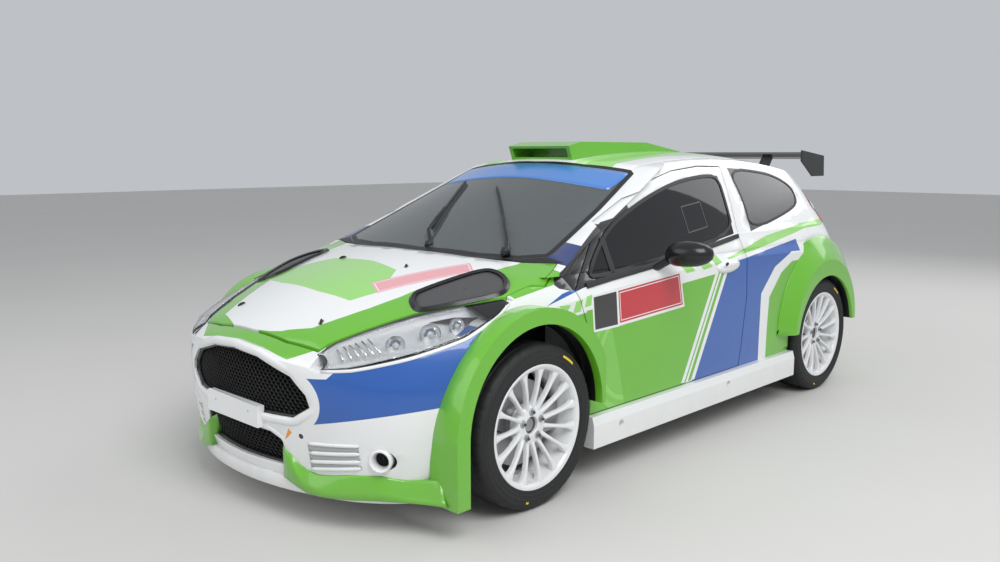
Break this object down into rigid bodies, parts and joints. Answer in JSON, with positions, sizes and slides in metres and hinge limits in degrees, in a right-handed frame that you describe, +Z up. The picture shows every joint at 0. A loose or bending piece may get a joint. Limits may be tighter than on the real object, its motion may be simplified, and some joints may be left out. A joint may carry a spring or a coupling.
{
  "type": "rally car",
  "caption": "Three-door rally car with a hollow cabin, opening doors, bonnet and tailgate, flared arches, roof scoop, rear wing and steered front wheels.",
  "frame": {"origin": "on the floor, under the middle of the car's bounding box", "axes": "+X towards the car's front, +Y towards its left side, +Z up"},
  "size_m": [3.9621, 2.1006, 1.424],
  "materials": {
    "white_paint": "gloss",
    "green_paint": "gloss",
    "window_glass": "clear, dark tinted",
    "screen_glass": "clear",
    "lamp_clear": "clear cover over reflectors",
    "lamp_red": "gloss",
    "black_plastic": "satin",
    "wheel_paint": "satin",
    "tyre_rubber": "matt",
    "chassis_steel": "satin",
    "bare_steel": "brushed",
    "engine_alloy": "cast",
    "cage_paint": "satin",
    "seat_cloth": "woven"
  },
  "bodies": {
    "car_body": {"windscreen": "screen_glass", "cowl_panel": "black_plastic", "roof_panel": "white_paint", "headlamps": "lamp_clear", "tail_lamps": "lamp_red", "fender_left": "white_paint", "fender_right": "white_paint", "front_bumper": "white_paint", "front_splitter": "white_paint", "side_skirts": "white_paint", "front_flares": "green_paint", "rear_flares": "green_paint", "body_side_left": "white_paint", "body_side_right": "white_paint", "quarter_windows": "window_glass", "rear_bumper": "white_paint", "roof_scoop": "green_paint", "wipers": "black_plastic", "upper_grille": "black_plastic", "lower_grille": "black_plastic", "floor_pan": "chassis_steel", "rear_wheelhouses": "chassis_steel", "front_structure": "chassis_steel", "front_subframe": "chassis_steel", "engine_block": "engine_alloy", "rear_axle": "chassis_steel", "exhaust": "bare_steel", "dashboard": "black_plastic", "steering_wheel": "black_plastic", "seats": "seat_cloth", "roll_cage": "cage_paint"},
    "bonnet_body": {"bonnet": "white_paint", "bonnet_vents": "black_plastic"},
    "door_left_body": {"door_left": "white_paint", "door_glass_left": "window_glass", "mirror_left": "black_plastic"},
    "door_right_body": {"door_right": "white_paint", "door_glass_right": "window_glass", "mirror_right": "black_plastic"},
    "tailgate_body": {"tailgate": "white_paint", "tailgate_glass": "window_glass", "rear_wing": "black_plastic"},
    "steer_left_body": {"knuckle_left": "bare_steel"},
    "steer_right_body": {"knuckle_right": "bare_steel"},
    "wheel_front_left_body": {"rim_front_left": "wheel_paint", "tyre_front_left": "tyre_rubber"},
    "wheel_front_right_body": {"rim_front_right": "wheel_paint", "tyre_front_right": "tyre_rubber"},
    "wheel_rear_left_body": {"rim_rear_left": "wheel_paint", "tyre_rear_left": "tyre_rubber"},
    "wheel_rear_right_body": {"rim_rear_right": "wheel_paint", "tyre_rear_right": "tyre_rubber"}
  },
  "joints": [
    {"name": "door_left_hinge", "type": "hinge", "parent": "car_body", "child": "door_left_body", "pos_m": [0.86, 0.868, 0.6], "axis": [0, 0, -1], "range_deg": [0, 65]},
    {"name": "door_right_hinge", "type": "hinge", "parent": "car_body", "child": "door_right_body", "pos_m": [0.86, -0.868, 0.6], "axis": [0, 0, 1], "range_deg": [0, 65]},
    {"name": "bonnet_hinge", "type": "hinge", "parent": "car_body", "child": "bonnet_body", "pos_m": [0.88, 0, 0.915], "axis": [0, -1, 0], "range_deg": [0, 50]},
    {"name": "tailgate_hinge", "type": "hinge", "parent": "car_body", "child": "tailgate_body", "pos_m": [-1.4825, 0, 1.316], "axis": [0, 1, 0], "range_deg": [0, 75]},
    {"name": "steer_left", "type": "hinge", "parent": "car_body", "child": "steer_left_body", "pos_m": [1.1815, 0.69, 0.325], "axis": [0, 0, 1], "range_deg": [-30, 30]},
    {"name": "steer_right", "type": "hinge", "parent": "car_body", "child": "steer_right_body", "pos_m": [1.1815, -0.69, 0.325], "axis": [0, 0, 1], "range_deg": [-30, 30]},
    {"name": "wheel_front_left_spin", "type": "hinge", "parent": "steer_left_body", "child": "wheel_front_left_body", "pos_m": [1.1815, 0.775, 0.325], "axis": [0, 1, 0], "continuous": true},
    {"name": "wheel_front_right_spin", "type": "hinge", "parent": "steer_right_body", "child": "wheel_front_right_body", "pos_m": [1.1815, -0.775, 0.325], "axis": [0, 1, 0], "continuous": true},
    {"name": "wheel_rear_left_spin", "type": "hinge", "parent": "car_body", "child": "wheel_rear_left_body", "pos_m": [-1.3115, 0.75, 0.325], "axis": [0, 1, 0], "continuous": true},
    {"name": "wheel_rear_right_spin", "type": "hinge", "parent": "car_body", "child": "wheel_rear_right_body", "pos_m": [-1.3115, -0.75, 0.325], "axis": [0, 1, 0], "continuous": true}
  ],
  "couplings": [
    {"joint": "steer_right", "follows": "steer_left", "ratio": 1}
  ]
}
